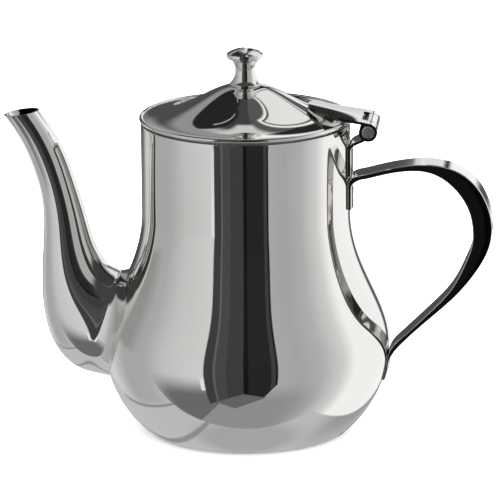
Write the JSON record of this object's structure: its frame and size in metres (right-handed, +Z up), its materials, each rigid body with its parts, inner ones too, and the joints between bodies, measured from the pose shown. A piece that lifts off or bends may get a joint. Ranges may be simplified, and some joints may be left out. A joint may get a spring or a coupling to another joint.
{
  "type": "teapot",
  "caption": "Polished steel teapot: pear-shaped body, tall gooseneck spout, open strap handle and a hinged bell-shaped lid with a turned knob.",
  "frame": {"origin": "on the body's axis, in the plane the pot stands on", "axes": "+Z up along the body's axis, +X towards the handle, -X towards the spout"},
  "size_m": [0.2026, 0.1186, 0.1611],
  "materials": {
    "polished_steel": "mirror-polished stainless steel",
    "satin_steel": "satin stainless steel, as rolled and spun"
  },
  "bodies": {
    "pot": {"body_shell": "polished_steel", "base_disc": "satin_steel", "spout_left_half": "polished_steel", "spout_right_half": "polished_steel", "handle": "polished_steel", "hinge_bracket": "polished_steel", "hinge_pin": "satin_steel"},
    "lid": {"lid_shell": "polished_steel", "lid_inner_ring": "satin_steel", "lid_hinge_leaf": "polished_steel", "knob": "polished_steel", "knob_washer": "satin_steel", "knob_screw": "satin_steel"}
  },
  "joints": [
    {"name": "lid_hinge", "type": "hinge", "parent": "pot", "child": "lid", "pos_m": [0.0513, 0, 0.1288], "axis": [0, 1, 0], "range_deg": [0, 105]}
  ]
}
